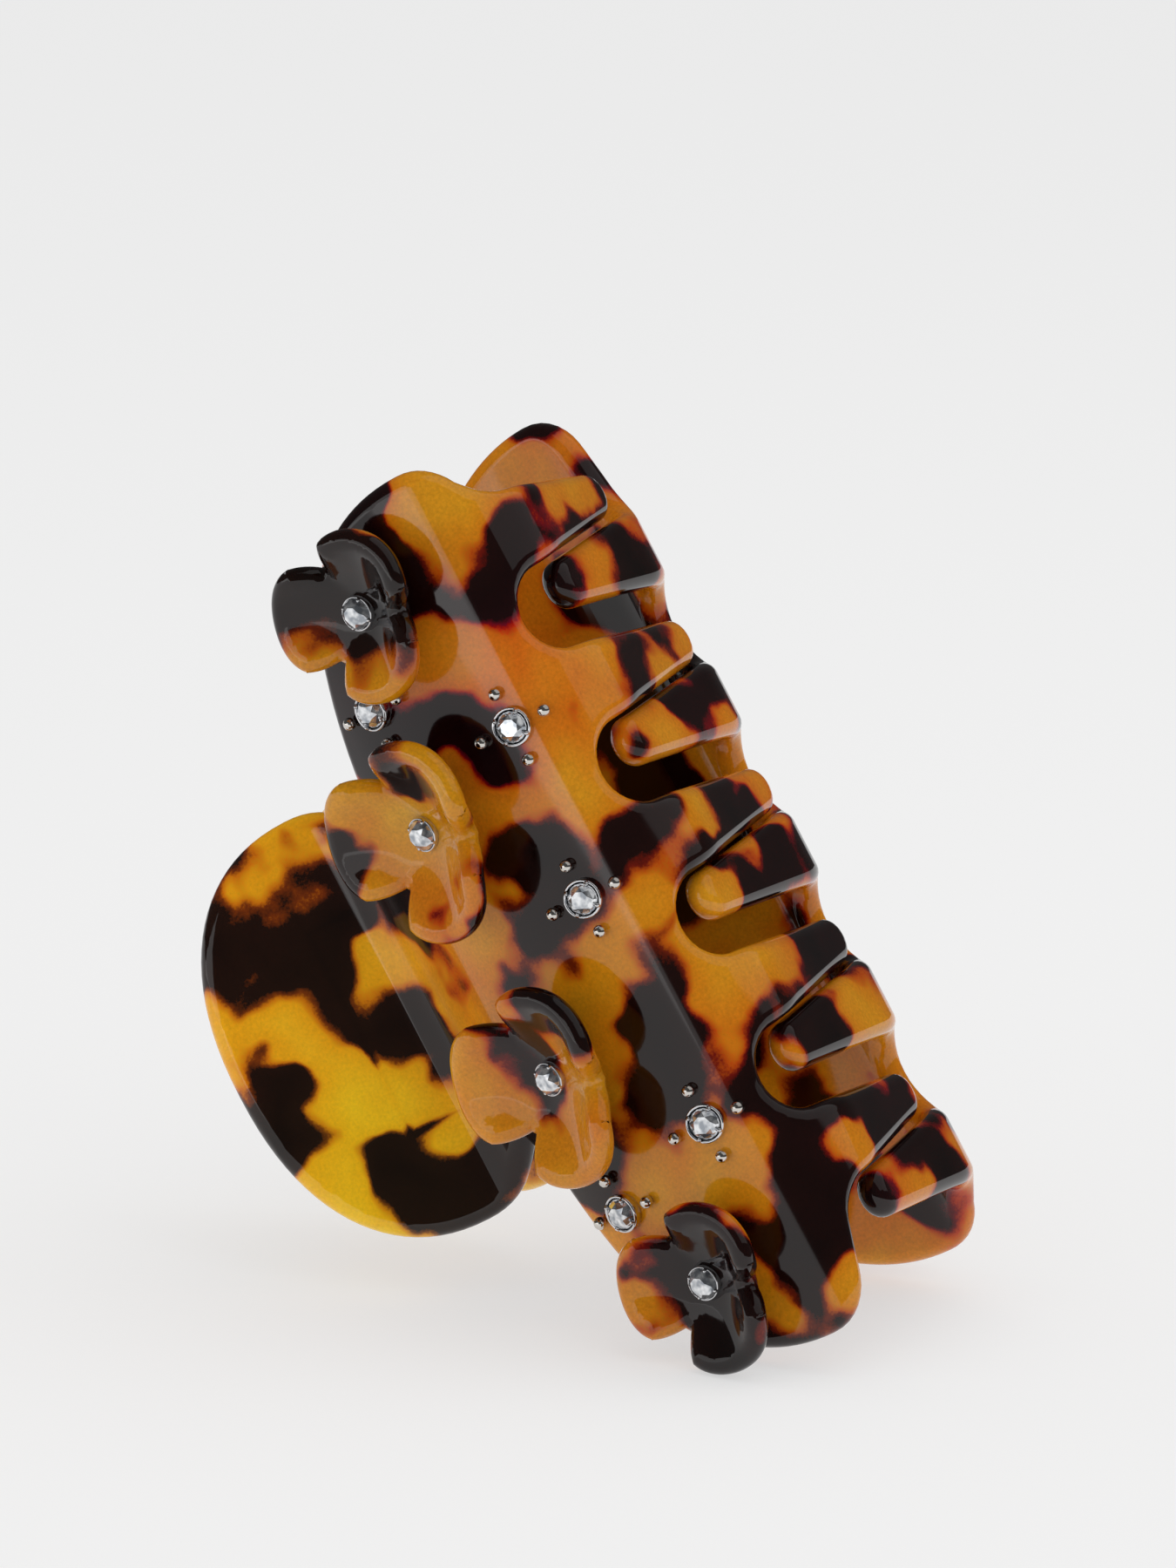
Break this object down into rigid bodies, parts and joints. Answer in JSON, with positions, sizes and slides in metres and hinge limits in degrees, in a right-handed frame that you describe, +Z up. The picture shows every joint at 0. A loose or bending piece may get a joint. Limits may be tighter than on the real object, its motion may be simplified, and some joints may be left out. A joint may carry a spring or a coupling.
{
  "type": "claw clip",
  "caption": "Hair claw clip: two curved toothed jaws of tortoiseshell sheet on a sprung hinge, with three-petal flowers, stones in settings and ball studs.",
  "frame": {"origin": "on the ground under the middle of the clip, level with the lowest point of the teeth, with the clip upright and closed", "axes": "+X along the clip and its hinge pin, +Y out of the front jaw, +Z up through the hinge towards the thumb tabs"},
  "size_m": [0.092, 0.0542, 0.0557],
  "materials": {
    "tortoiseshell_acetate": "polished, mottled amber and dark brown",
    "flower_acetate": "polished, mottled amber and dark brown",
    "plated_settings": "bright plating",
    "crystal_stones": "cut and polished",
    "polished_studs": "bright plating",
    "hinge_steel": "satin nickel plate",
    "spring_wire": "drawn spring wire"
  },
  "bodies": {
    "front": {"front_jaw": "tortoiseshell_acetate", "front_hinge_leaf": "hinge_steel", "front_flower_1": "flower_acetate", "front_flower_2": "flower_acetate", "front_flower_3": "flower_acetate", "front_flower_4": "flower_acetate", "front_flower_settings": "plated_settings", "front_flower_stones": "crystal_stones", "front_cluster_settings": "plated_settings", "front_cluster_stones": "crystal_stones", "front_ball_studs": "polished_studs", "hinge_pin": "hinge_steel", "torsion_spring": "spring_wire"},
    "back": {"back_jaw": "tortoiseshell_acetate", "back_hinge_leaf": "hinge_steel", "back_flower_1": "flower_acetate", "back_flower_2": "flower_acetate", "back_flower_3": "flower_acetate", "back_flower_4": "flower_acetate", "back_flower_settings": "plated_settings", "back_flower_stones": "crystal_stones", "back_cluster_settings": "plated_settings", "back_cluster_stones": "crystal_stones", "back_ball_studs": "polished_studs"}
  },
  "joints": [
    {"name": "jaw_hinge", "type": "hinge", "parent": "front", "child": "back", "pos_m": [0, 0, 0.03669], "axis": [-1, 0, 0], "range_deg": [0, 60], "stiffness_Nm_per_rad": 0.12, "springref_deg": -45.84, "deforming": ["torsion_spring"]}
  ]
}
